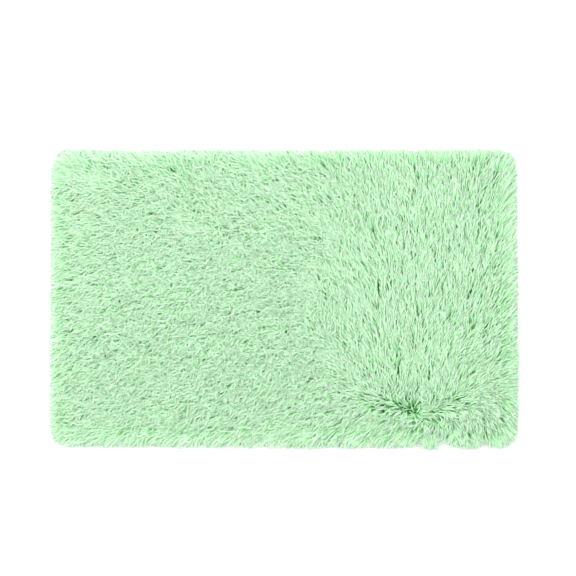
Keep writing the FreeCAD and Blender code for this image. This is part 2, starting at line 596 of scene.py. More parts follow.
@dataclass(frozen=True)
class SatinLabel:
    """Satin-woven polyester label, blank: smooth, white and slightly silky, its fine floats along it."""

    float_shade: str = "#DFE3DC"
    float_light: str = "#FBFCF8"
    spacing: float = 0.45       # drawn coarser than the real 0.2 mm, so that the floats show
    float_length: float = 3.0   # in thread spacings

    def make(self) -> bpy.types.Material:
        """Build the material: long floats, so the threads show one way only.

        Returns:
            The material.
        """
        material, tree, shader = new_material("polyester_satin_woven")
        floats = over_and_under(tree, self.spacing * self.float_length, self.spacing)
        colour_by(tree, shader, floats, [(0.0, self.float_shade), (0.6, self.float_light)])
        raise_by(tree, shader, floats, 0.06)
        roughen_by(tree, shader, mottle(tree, 8.0), 0.3, 0.42)
        shader.inputs["Anisotropic"].default_value = 0.5
        return material


# --- The flat layers --------------------------------------------------------------------------

@dataclass
class Layer:
    """One flat layer: a thin slab with a soft edge, in millimetres."""

    SHARPEST = 0.5              # the smallest corner radius that the mesh keeps

    outline: Outline
    bottom: float
    top: float
    edge_round: float           # how far in from its edge the layer starts to round over
    cell: float = 5.0           # spacing of the mesh
    centre: tuple[float, float] = (0.0, 0.0)
    edge_steps: int = 4

    def inset(self) -> Outline:
        """The outline of the flat part, inside the rounded edge."""
        return self.outline.inset(self.edge_round, self.SHARPEST)

    def grid(self) -> np.ndarray:
        """Lay even rows of points over the layer, drawn in to the round at its corners.

        Returns:
            The x and y of each point, as (rows, columns, 2).
        """
        inset = self.inset()
        corner = inset.corner
        core = np.array([inset.half_length, inset.half_width]) - corner
        axes = []
        for straight in core:
            inner = np.linspace(-straight, straight, 2 * round(straight / self.cell) + 1)
            outer = straight + np.linspace(0, corner, max(2, round(corner / self.cell)) + 1)[1:]
            axes.append(np.concatenate([-outer[::-1], inner, outer]))
        flat = np.stack(np.meshgrid(*axes), axis=-1)
        past = np.clip((np.abs(flat) - core) / corner, 0.0, 1.0)
        drawn = past * np.sqrt(1 - past[..., ::-1] ** 2 / 2)
        return np.sign(flat) * (np.minimum(np.abs(flat), core) + drawn * corner)

    def mesh(self, relief: np.ndarray | None = None) -> tuple[np.ndarray, np.ndarray]:
        """Make the closed slab.

        Args:
            relief: How far each grid point's underside is raised and its top is lowered, or None.

        Returns:
            Points in millimetres, and four-cornered faces.
        """
        flat = self.grid()
        rows, columns, _ = flat.shape
        size = rows * columns
        dent = np.zeros((rows, columns)) if relief is None else relief
        number = np.arange(size).reshape(rows, columns)
        loop = np.concatenate([number[0, :-1], number[:-1, -1], number[-1, :0:-1], number[:0:-1, 0]])
        dent.ravel()[loop] = 0.0
        top = np.concatenate([flat, self.top - dent[..., None]], axis=-1).reshape(-1, 3)
        under = np.concatenate([flat, self.bottom + dent[..., None]], axis=-1).reshape(-1, 3)
        cells = np.stack([number[:-1, :-1], number[:-1, 1:], number[1:, 1:], number[1:, :-1]], axis=-1)
        cells = cells.reshape(-1, 4)

        edge = flat.reshape(-1, 2)[loop]
        out = self.inset().outward(edge, self.inset().corner)
        middle, half_thick = (self.top + self.bottom) / 2, (self.top - self.bottom) / 2
        turns = np.linspace(math.pi / 2, -math.pi / 2, self.edge_steps + 1)[1:-1]
        rings = [np.concatenate([edge + out * self.edge_round * math.cos(turn),
                                 np.full((len(loop), 1), middle + half_thick * math.sin(turn))], axis=1)
                 for turn in turns]
        between = [2 * size + i * len(loop) + np.arange(len(loop)) for i in range(len(turns))]
        numbers = [loop, *between, loop + size]
        walls = [np.stack([a, b, np.roll(b, -1), np.roll(a, -1)], axis=1)
                 for a, b in zip(numbers, numbers[1:])]
        points = np.concatenate([top, under, *rings])
        points[:, :2] += self.centre
        return points, np.concatenate([cells, cells[:, ::-1] + size, *walls])


@dataclass
class FlatLayers:
    """The three layers under the pile, all cut to one outline."""

    outline: Outline
    ripple: float = 0.06        # unevenness of the cloths, in millimetres
    sponge_ripple: float = 0.15
    seed: int = 7

    def lay(self, name: str, edge_round: float, ripple: float, wave: float, material: bpy.types.Material,
            slot: str) -> bpy.types.Object:
        """Make one layer where its plain solid is.

        Args:
            name: The plain solid that it stands for.
            edge_round: How far in from its edge the layer rounds over.
            ripple: How deep its unevenness is.
            wave: How wide its unevenness is.
            material: The finish.
            slot: The record's material slot.

        Returns:
            The layer.
        """
        low, high = (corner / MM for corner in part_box(name))
        layer = Layer(self.outline, low.z, high.z, edge_round)
        uneven = Unevenness(np.random.default_rng(self.seed), wave)
        points, faces = layer.mesh(ripple * (0.5 + 0.5 * uneven.at(layer.grid())))
        piece = mesh_piece(f"{name}_layer", points * MM, faces, material, slot)
        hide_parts(name)
        log.info("%s: %.1f mm thick, %d faces", piece.name, high.z - low.z, len(faces))
        return piece

    def build(self, patches: list[bpy.types.Object]) -> None:
        """Make the ground knit, the foam core and the base cloth.

        Args:
            patches: The pile, which grows from the ground knit. Not used.
        """
        base = self.lay("base_cloth", edge_round=0.3, ripple=self.ripple, wave=13.0,
                        material=WovenBase().make(), slot="base_cloth")
        foam = self.lay("foam_core", edge_round=1.5, ripple=self.sponge_ripple, wave=30.0,
                        material=CellularFoam().make(), slot="foam")
        ground = self.lay("ground_knit", edge_round=0.5, ripple=self.ripple, wave=18.0,
                          material=KnittedGround().make(), slot="ground_knit")


@dataclass
class GripDots:
    """Low domes moulded in staggered rows on the base cloth, clear of the tape and the label."""

    field: Outline              # the cloth that the tape leaves open
    radius: float = 4.0
    pitch: float = 24.0
    clearance: float = 2.0      # bare cloth between a dot and the tape or the label
    lowest: float = 0.96        # the lowest dot's height, as a share of the tallest one's
    narrowest: float = 0.97
    sides: int = 20
    seed: int = 11

    RINGS = ((1.0, 0.0), (0.99, 0.42), (0.93, 0.72), (0.78, 0.92), (0.45, 1.0))     # radius and height shares
    MAP_SHARE = 0.45            # half the width of a dot on its cell of the map

    def places(self) -> np.ndarray:
        """Where the dots stand.

        Returns:
            Rows of x and y in millimetres.
        """
        low, high = (np.array(corner.xy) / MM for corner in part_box("care_label"))
        reach = self.radius + self.clearance
        row_pitch = self.pitch * math.sqrt(3) / 2
        rows = math.ceil(self.field.half_width / row_pitch)
        columns = math.ceil(self.field.half_length / self.pitch)
        spots = np.array([(column * self.pitch + self.pitch / 2 * (row % 2), row * row_pitch)
                          for row in range(-rows, rows + 1) for column in range(-columns, columns + 1)])
        inside = (np.abs(spots) + reach <= (self.field.half_length, self.field.half_width)).all(axis=1)
        off_label = np.maximum(np.maximum(low - spots, spots - high), 0.0)
        return spots[inside & (np.linalg.norm(off_label, axis=1) >= reach)]

    def build(self) -> bpy.types.Object:
        """Mould every dot.

        Returns:
            The dots, as one piece.
        """
        low, high = (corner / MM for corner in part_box("grip_dots"))
        rng = np.random.default_rng(self.seed)
        spots = self.places()
        count, sides = len(spots), self.sides
        turn = np.arange(sides) * FULL_TURN / sides
        circle = facing(turn)
        tall = (high.z - low.z) * rng.uniform(self.lowest, 1.0, count)
        tall[0] = high.z - low.z
        wide = self.radius * rng.uniform(self.narrowest, 1.0, count)
        rings = []
        for across, up in self.RINGS:
            flat = spots[:, None] + circle[None] * (wide * across)[:, None, None]
            depth = np.broadcast_to((high.z - tall * up)[:, None, None], (count, sides, 1))
            rings.append(np.concatenate([flat, depth], axis=2))
        crown = np.concatenate([spots, (high.z - tall)[:, None]], axis=1)[:, None]
        seat = np.concatenate([spots, np.full((count, 1), high.z)], axis=1)[:, None]
        points = np.concatenate([*rings, crown, seat], axis=1)
        faces = []
        last = len(self.RINGS) * sides
        for k in range(sides):
            ahead = (k + 1) % sides
            for i in range(len(self.RINGS) - 1):
                a, b = i * sides, (i + 1) * sides
                faces += [(a + k, b + ahead, b + k), (a + k, a + ahead, b + ahead)]
            faces += [(last - sides + k, last - sides + ahead, last), (k, last + 1, ahead)]
        size = last + 2
        faces = (np.array(faces)[None] + np.arange(count)[:, None, None] * size).reshape(-1, 3)
        tones = MouldedGrip.tones
        tone = rng.integers(0, tones, count)[:, None]
        local = (points[..., :2] - spots[:, None]) / self.radius * self.MAP_SHARE + 0.5
        uv = np.stack([(tone + local[..., 0]) / tones, local[..., 1]], axis=-1)
        dots = mesh_piece("grip_dots_moulded", points.reshape(-1, 3) * MM, faces, MouldedGrip().make(),
                          "grip_dots", uv.reshape(-1, 2))
        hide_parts("grip_dots")
        log.info("%s: %d dots", dots.name, count)
        return dots


# --- Sewing -----------------------------------------------------------------------------------

@dataclass(frozen=True)
class Seam:
    """A row of sewn stitches in two-ply thread, in millimetres."""

    gap: float = 1.0            # cloth between one stitch and the next
    ply_radius: float = 0.15
    ply_swing: tuple[float, float] = (0.15, 0.06)      # across the stitch, and up from the cloth
    turns: float = 1.5          # how often the plies wind round each other in one stitch
    dive: float = 0.3           # how far a stitch's ends sink into the cloth
    thinning: float = 0.7       # how much of a ply is pressed away at its very ends
    rows: int = 9
    sides: int = 5

    TONE_STEP = 7               # from one stitch's dye tone to the next, so that neighbours differ

    def sew(self, marks: np.ndarray, ends: np.ndarray, level: float, face: float,
            material: bpy.types.Material, node: str) -> bpy.types.Object:
        """Sew one stitch from each mark towards its end.

        Args:
            marks: Where each stitch starts, as rows of x and y.
            ends: Where the next one starts.
            level: Height of the thread's middle.
            face: One if the cloth's face looks up, and minus one if it looks down.
            material: The finish.
            node: The plain solid that the row stands for.

        Returns:
            The row of stitches, as one piece.
        """
        count = len(marks)
        run = ends - marks
        reach = np.linalg.norm(run, axis=1, keepdims=True)
        along = run / reach
        share = 1 - self.gap / reach
        along3 = np.concatenate([along, np.zeros((count, 1))], axis=1)
        side3 = np.stack([-along[:, 1], along[:, 0], np.zeros(count)], axis=1)
        up3 = np.array([0.0, 0.0, face])
        pace = np.linspace(-0.5, 0.5, self.rows)
        middle = np.concatenate([(marks + ends) / 2, np.full((count, 1), level)], axis=1)
        sunk = np.abs(pace * 2) ** 6 * self.dive
        path = (middle[:, None] + along3[:, None] * (pace[None, :, None] * (reach * share)[:, None])
                - up3 * sunk[None, :, None])
        around = np.arange(self.sides) * FULL_TURN / self.sides
        radius = (self.ply_radius * np.sqrt(1 - np.abs(pace * 2) ** 8 * self.thinning))[None, :, None, None]
        plies = []
        for ply in (0.0, math.pi):
            twist = (pace * self.turns * FULL_TURN + ply)[None, :, None]
            centre = (path + side3[:, None] * np.cos(twist) * self.ply_swing[0]
                      + up3 * np.sin(twist) * self.ply_swing[1])
            ring = (centre[:, :, None]
                    + side3[:, None, None] * np.cos(around)[None, None, :, None] * radius
                    + up3 * np.sin(around)[None, None, :, None] * radius)
            plies.append(ring.reshape(count, -1, 3))
        points = np.concatenate(plies, axis=1)
        one_map = self.ply_map(count, pace)
        uv = np.concatenate([one_map] * len(plies), axis=1)
        half = self.rows * self.sides
        faces = self.tube_faces()
        faces = np.concatenate([faces, faces + half])
        faces = (faces[None] + np.arange(count)[:, None, None] * 2 * half).reshape(-1, 3)
        if face < 0:
            faces = faces[:, ::-1]
        row = mesh_piece(f"{node}_thread", points.reshape(-1, 3) * MM, faces, material, "sewing_thread",
                         uv.reshape(-1, 2))
        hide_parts(node)
        log.info("%s: %d stitches", row.name, count)
        return row

    def ply_map(self, count: int, pace: np.ndarray) -> np.ndarray:
        """Lay each stitch's ply on the map: round it across, inside one dye tone, and along it upwards.

        Args:
            count: How many stitches there are.
            pace: The places of the rings along a stitch, from -0.5 to 0.5.

        Returns:
            The map places, as (stitches, points of a ply, 2).
        """
        tones = SpunThread.tones
        tone = (np.arange(count) * self.TONE_STEP) % tones
        u = (tone[:, None, None] + 0.1 + 0.8 * np.arange(self.sides) / self.sides) / tones
        v = 0.02 + 0.96 * (pace + 0.5)[None, :, None]
        u, v = np.broadcast_arrays(u, v)
        return np.stack([u, v], axis=-1).reshape(count, -1, 2)

    def tube_faces(self) -> np.ndarray:
        """Close one ply's tube.

        Returns:
            Its triangles, as rows of point numbers.
        """
        faces = []
        for i in range(self.rows - 1):
            for k in range(self.sides):
                a, b = i * self.sides + k, i * self.sides + (k + 1) % self.sides
                faces += [(a, b, b + self.sides), (a, b + self.sides, a + self.sides)]
        last = (self.rows - 1) * self.sides
        for k in range(1, self.sides - 1):
            faces += [(0, k + 1, k), (last, last + k, last + k + 1)]
        return np.array(faces)


@dataclass
class Binding:
    """The ribbed tape folded round the layers' edge, and the lockstitch through it."""

    outline: Outline            # the layers' outline
    leg: float = 9.0
    fold_round: float = 0.25    # radius inside the fold
    seam_inset: float = 5.5
    stitch_pitch: float = 5.0
    dent: float = 0.45          # how deep the seam pulls the tape in
    dent_half_width: float = 0.8
    dent_softness: float = 1.15
    dent_shoulder: float = 1.8  # where the tape is flat again, in half widths of the dent
    fold_run: float = 1.2       # flat tape between the fold and the next row of the mesh
    hole: float = 0.15          # how much deeper the tape is pulled in where the thread passes through
    hole_width: float = 0.12    # as a share of a stitch
    rib: float = 1.0            # spacing of the mesh along the tape: a rib is two of these
    rib_rise: float = 0.04
    thread_depth: float = 0.25  # from the tape's face to the middle of the thread
    arc_steps: int = 3

    def section(self, bottom: float, top: float, thickness: float) -> tuple[np.ndarray, np.ndarray]:
        """The tape's closed section, anticlockwise from its lower inside end.

        Args:
            bottom: Height of the tape's under face.
            top: Height of the tape's upper face.
            thickness: The tape's thickness.

        Returns:
            Rows of outward place and height, and how far each point follows the seam's dent: up, down or not.
        """
        seam, width, shoulder = -self.seam_inset, self.dent_half_width, self.dent_shoulder
        stops = [-self.leg, seam - shoulder * width, seam - width, seam, seam + width,
                 seam + shoulder * width, -self.fold_round - self.fold_run]
        outer = self.fold_round + thickness
        centre = -self.fold_round
        quarter = np.linspace(0, math.pi / 2, self.arc_steps + 1)
        low_arc = [(centre + outer * math.sin(t), bottom + outer - outer * math.cos(t)) for t in quarter]
        high_arc = [(centre + outer * math.cos(t), top - outer + outer * math.sin(t)) for t in quarter]
        inner = self.fold_round
        high_in = [(centre + inner * math.sin(t), top - outer + inner * math.cos(t)) for t in quarter]
        low_in = [(centre + inner * math.cos(t), bottom + outer - inner * math.sin(t)) for t in quarter]
        face_up = [(s, top) for s in reversed(stops)]
        back = [(-self.leg, top - thickness), (-self.leg / 2, top - thickness)]
        front = [(-self.leg / 2, bottom + thickness), (-self.leg, bottom + thickness)]
        parts = [[(s, bottom) for s in stops], low_arc, high_arc, face_up, back, high_in, low_in, front]
        pulls = [1.0, 0.0, 0.0, -1.0, 0.0, 0.0, 0.0, 0.0]
        pull = np.concatenate([np.full(len(part), value) for part, value in zip(parts, pulls)])
        return np.array([point for part in parts for point in part]), pull

    def build(self, thread: bpy.types.Material) -> None:
        """Fold the tape and sew it.

        Args:
            thread: The material of the sewing thread.
        """
        low, high = (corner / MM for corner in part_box("edge_binding"))
        thickness = high.x - self.outline.half_length
        seam = self.outline.inset(self.seam_inset)
        stitches = round(seam.around() / self.stitch_pitch)
        section, pull = self.section(low.z, high.z, thickness)
        steps = 2 * round(self.outline.around() / self.rib / 2)
        spots, out = self.outline.walk(steps)
        across = section[:, 0]
        phase = np.arange(steps) / steps * stitches
        near_hole = np.exp(-(np.minimum(phase % 1, 1 - phase % 1) / self.hole_width) ** 2)
        depth = self.dent + self.hole * near_hole
        dent = np.exp(-((across + self.seam_inset) / self.dent_half_width / self.dent_softness) ** 4)
        sway = np.where(np.arange(steps) % 2, self.rib_rise, 0.0)
        points = np.empty((steps, len(section), 3))
        points[..., :2] = spots[:, None] + out[:, None] * across[None, :, None]
        points[..., 2] = section[None, :, 1] + pull[None] * (dent[None] * depth[:, None] + sway[:, None])
        number = np.arange(steps * len(section)).reshape(steps, len(section))
        ahead = np.roll(number, -1, axis=0)
        faces = np.stack([number, ahead, np.roll(ahead, -1, axis=1), np.roll(number, -1, axis=1)], axis=-1)
        tape = mesh_piece("edge_binding_tape", points.reshape(-1, 3) * MM, faces.reshape(-1, 4)[:, ::-1],
                          RibbedTape().make(), "binding_tape")
        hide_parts("edge_binding")
        self.outline.around() * MM
        log.info("%s: %.0f mm of tape, %d faces", tape.name, self.outline.around(), faces.size // 4)
        marks, _ = seam.walk(stitches)
        ends = np.roll(marks, -1, axis=0)
        Seam().sew(marks, ends, high.z - self.thread_depth, 1.0, thread, "binding_stitch_upper")
        Seam().sew(marks, ends, low.z + self.thread_depth, -1.0, thread, "binding_stitch_under")


@dataclass
class CareLabel:
    """The blank satin label under the mat, its ends folded under and sewn down."""

    corner: float = 0.8
    edge_round: float = 0.15
    cell: float = 1.0           # spacing of the mesh
    fold: float = 5.0           # length of each folded end
    fold_slope: float = 0.8     # how far the step at a fold is spread
    fold_step: float = 0.07     # how much the single cloth between the folds stands back
    ripple: float = 0.02
    ripple_width: float = 3.1
    seam_inset: float = 2.5
    stitches: int = 5
    gap: float = 1.0

    def build(self, thread: bpy.types.Material) -> None:
        """Lay the label and sew its two ends.

        Args:
            thread: The material of the sewing thread.
        """
        low, high = (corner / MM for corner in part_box("care_label"))
        half = (high - low) / 2
        middle = (low + high) / 2
        outline = Outline(half.x, half.y, self.corner)
        layer = Layer(outline, low.z, high.z, self.edge_round, self.cell, (middle.x, middle.y))
        flat = layer.grid()
        inside = smooth_step((half.x - self.fold - np.abs(flat[..., 0])) / self.fold_slope)
        wave = self.ripple * (1 + np.sin(flat[..., 1] / self.ripple_width))
        points, faces = layer.mesh(inside * (self.fold_step + wave))
        label = mesh_piece("care_label_blank", points * MM, faces, SatinLabel().make(), "label_ribbon")
        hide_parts("care_label")
        thread_low, thread_high = (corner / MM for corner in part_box("label_stitch"))
        run = (2 * half.y - self.gap) / self.stitches
        seams = (low.x + self.seam_inset, high.x - self.seam_inset)
        marks = np.array([(x, low.y + self.gap / 2 + i * run) for x in seams for i in range(self.stitches)])
        Seam(gap=self.gap).sew(marks, marks + (0.0, run), (thread_low.z + thread_high.z) / 2, -1.0,
                               thread, "label_stitch")
        log.info("%s: %.0f by %.0f mm", label.name, 2 * half.x, 2 * half.y)


# --- The pile ---------------------------------------------------------------------------------

@dataclass(frozen=True)
class Manner:
    """How the locks of a stretch of pile stand. Angles are in degrees."""

    drift: float        # how far neighbouring locks turn together
    scatter: float      # how far each lock turns by itself
    height: float       # share of the pile's full height
    layers: float       # how far the locks' heights differ, as a share
    root_slope: float
    tip_slope: float
    curl: float         # how far a lock turns from root to tip
    gather: float       # how far the locks close up into wisps, as a share


class Lay(Enum):
    """The ways that the pile lies."""

    TOUSLED = Manner(drift=9, scatter=27, height=1.0, layers=0.2, root_slope=78, tip_slope=13,
                     curl=40, gather=0.15)
    SWEPT = Manner(drift=8, scatter=17, height=0.97, layers=0.22, root_slope=72, tip_slope=10,
                   curl=28, gather=0.38)
    COMBED = Manner(drift=9, scatter=8, height=0.94, layers=0.33, root_slope=62, tip_slope=6,
                    curl=18, gather=0.85)


@dataclass(frozen=True)
class Stroke:
    """One stroke of the hand over the pile: where, which way (degrees from +X) and how far it reaches."""

    x: float
    y: float
    heading: float
    reach: float
    lay: Lay


T, S, C = Lay.TOUSLED, Lay.SWEPT, Lay.COMBED

# The left two thirds were stroked out to the left, rising along the far edge and falling along the near one.
STROKES_LEFT = [
    Stroke(-385, 240, 105, 30, S), Stroke(-315, 238, 135, 40, S), Stroke(-230, 240, 160, 45, S),
    Stroke(-150, 232, 125, 45, T), Stroke(-50, 238, 148, 50, S), Stroke(50, 236, 142, 45, S),
    Stroke(-370, 170, 190, 60, S), Stroke(-260, 155, 188, 60, T), Stroke(-150, 160, 150, 40, T),
    Stroke(-50, 170, 163, 55, T), Stroke(40, 170, 150, 50, S), Stroke(-370, 70, 195, 70, S),
    Stroke(-250, 60, 203, 65, T), Stroke(-130, 60, 195, 60, T), Stroke(-20, 75, 183, 55, T),
    Stroke(50, 95, 165, 40, T), Stroke(-370, -40, 203, 70, S), Stroke(-250, -40, 205, 65, T),
    Stroke(-130, -40, 217, 60, T), Stroke(-20, -40, 193, 55, T), Stroke(-370, -130, 217, 60, S),
    Stroke(-250, -130, 210, 65, T), Stroke(-130, -130, 213, 60, T), Stroke(-20, -130, 217, 55, T),
    Stroke(55, -130, 215, 40, T), Stroke(-360, -225, 198, 55, S), Stroke(-240, -220, 200, 60, S),
    Stroke(-120, -220, 212, 60, S), Stroke(0, -220, 208, 60, S), Stroke(90, -190, 202, 40, S),
    Stroke(110, -235, 217, 40, C),
]

# The right third was combed away over the far edge, and fans out at the right one.
STROKES_RIGHT = [
    Stroke(120, 240, 112, 35, S), Stroke(200, 236, 99, 40, C), Stroke(290, 236, 90, 45, C),
    Stroke(395, 230, 70, 45, C), Stroke(110, 150, 118, 35, S), Stroke(200, 150, 100, 45, C),
    Stroke(300, 140, 92, 50, C), Stroke(400, 140, 68, 40, C), Stroke(80, 50, 120, 30, S),
    Stroke(150, 50, 112, 40, C), Stroke(230, 40, 93, 45, C), Stroke(320, 30, 88, 45, C),
    Stroke(400, 20, 60, 45, C), Stroke(75, -40, 105, 25, S), Stroke(140, -50, 113, 35, C),
    Stroke(210, -60, 92, 35, C), Stroke(270, -60, 75, 35, C), Stroke(330, -70, 65, 35, C),
    Stroke(400, -70, 50, 40, C), Stroke(110, -110, 125, 25, S), Stroke(150, -140, 125, 25, C),
    Stroke(200, -140, 100, 30, C), Stroke(260, -130, 88, 30, C), Stroke(320, -130, 55, 30, C),
    Stroke(390, -112, 42, 30, C), Stroke(240, -180, 92, 18, C), Stroke(290, -172, 66, 17, C),
    Stroke(330, -152, 50, 15, C), Stroke(240, -204, 18, 9, C), Stroke(270, -200, 16, 9, C),
    Stroke(300, -192, 20, 11, C), Stroke(330, -177, 24, 13, C), Stroke(360, -162, 18, 16, C),
    Stroke(400, -145, 12, 22, C),
]

# Below a parting, the near right corner falls over the near edge.
STROKES_NEAR_RIGHT = [
    Stroke(262, -216, 290, 9, C), Stroke(300, -210, 300, 11, C), Stroke(338, -197, 308, 13, C),
    Stroke(372, -184, 318, 16, C), Stroke(408, -178, 330, 20, C), Stroke(400, -205, 300, 22, C),
    Stroke(170, -232, 217, 30, C), Stroke(225, -234, 230, 22, C), Stroke(280, -232, 250, 22, C),
    Stroke(335, -226, 270, 24, C), Stroke(380, -230, 284, 24, C), Stroke(408, -238, 305, 20, C),
]


@dataclass(frozen=True)
class Furrow:
    """A place where the locks have fallen apart and the pile shows deeper, in millimetres and degrees."""

    x: float
    y: float
    heading: float
    length: float
    width: float
    depth: float        # how much lower the locks stand, as a share


FURROWS = [
    Furrow(292, -119, 80, 26, 3, 0.3), Furrow(206, -130, 88, 70, 2.5, 0.3),
    Furrow(258, -142, 90, 26, 3, 0.25), Furrow(-165, 190, 60, 45, 6, 0.35),
    Furrow(-148, 160, 110, 40, 6, 0.3), Furrow(10, 60, 30, 26, 6, 0.3),
    Furrow(330, -62, 85, 40, 3, 0.28), Furrow(118, -105, 95, 44, 3, 0.3),
    Furrow(352, -70, 70, 36, 3, 0.25), Furrow(350, 55, 75, 40, 3, 0.12),
]


class Comb:
    """The way the pile lies at any place, blended from the strokes."""

    FADE = 1.4                  # how fast a stroke's weight falls off past its reach
    FAR_WEIGHT = 1e-6           # what it keeps far away, so that every place has a heading

    def __init__(self, strokes: list[Stroke]) -> None:
        """Keep the strokes as arrays.

        Args:
            strokes: Every stroke over the mat.
        """
        self.place = np.array([(s.x, s.y) for s in strokes], dtype=float)
        self.way = facing(np.radians([s.heading for s in strokes]))
        self.reach = np.array([s.reach for s in strokes])
        self.lay = np.array([astuple(s.lay.value) for s in strokes])

    def at(self, points: np.ndarray) -> tuple[np.ndarray, np.ndarray, np.ndarray]:
        """Read the pile's heading and lay.

        Args:
            points: Rows of x and y in millimetres.

        Returns:
            A heading in radians, how far the strokes nearby disagree from 0 to 1, and a row of the Manner's
            values, for each point.
        """
        gap = np.linalg.norm(points[:, None, :] - self.place[None], axis=-1) / self.reach
        weight = np.exp(-gap ** 2 * self.FADE) + self.FAR_WEIGHT / (gap ** 2 + 0.1)
        weight /= weight.sum(axis=1, keepdims=True)
        way = weight @ self.way
        discord = 1 - np.linalg.norm(way, axis=1)
        return np.arctan2(way[:, 1], way[:, 0]), discord, weight @ self.lay

    def parted(self, points: np.ndarray, reach: float = 10.0) -> np.ndarray:
        """Find where the pile falls away to two sides.

        Args:
            points: Rows of x and y in millimetres.
            reach: How far to each side to look, in millimetres.

        Returns:
            0 where the pile lies evenly, up to 1 on a parting, for each point.
        """
        spread = np.zeros(len(points))
        for axis, wave in enumerate((np.cos, np.sin)):
            side = np.eye(2)[axis] * reach
            spread += 0.5 * (wave(self.at(points + side)[0]) - wave(self.at(points - side)[0]))
        return np.clip(spread, 0, 1)


@dataclass
class Habit:
    """How the locks grow: an array with one value for each lock, in millimetres and radians."""

    heading: np.ndarray     # the way that it leans
    curl: np.ndarray        # how far it turns from root to tip
    root_slope: np.ndarray  # how steeply it leaves the ground
    tip_slope: np.ndarray   # and how steeply it still rises when it has reached its height
    phase: np.ndarray       # where in its crimp it starts
    length: np.ndarray
    height: np.ndarray
    hang: np.ndarray        # how far past the ground it reaches before it drops
    lie: np.ndarray         # the lowest that it comes over the floor
    gather: np.ndarray      # how far it is drawn into its wisp, from 0 to 1
    centre: np.ndarray      # the middle of that wisp


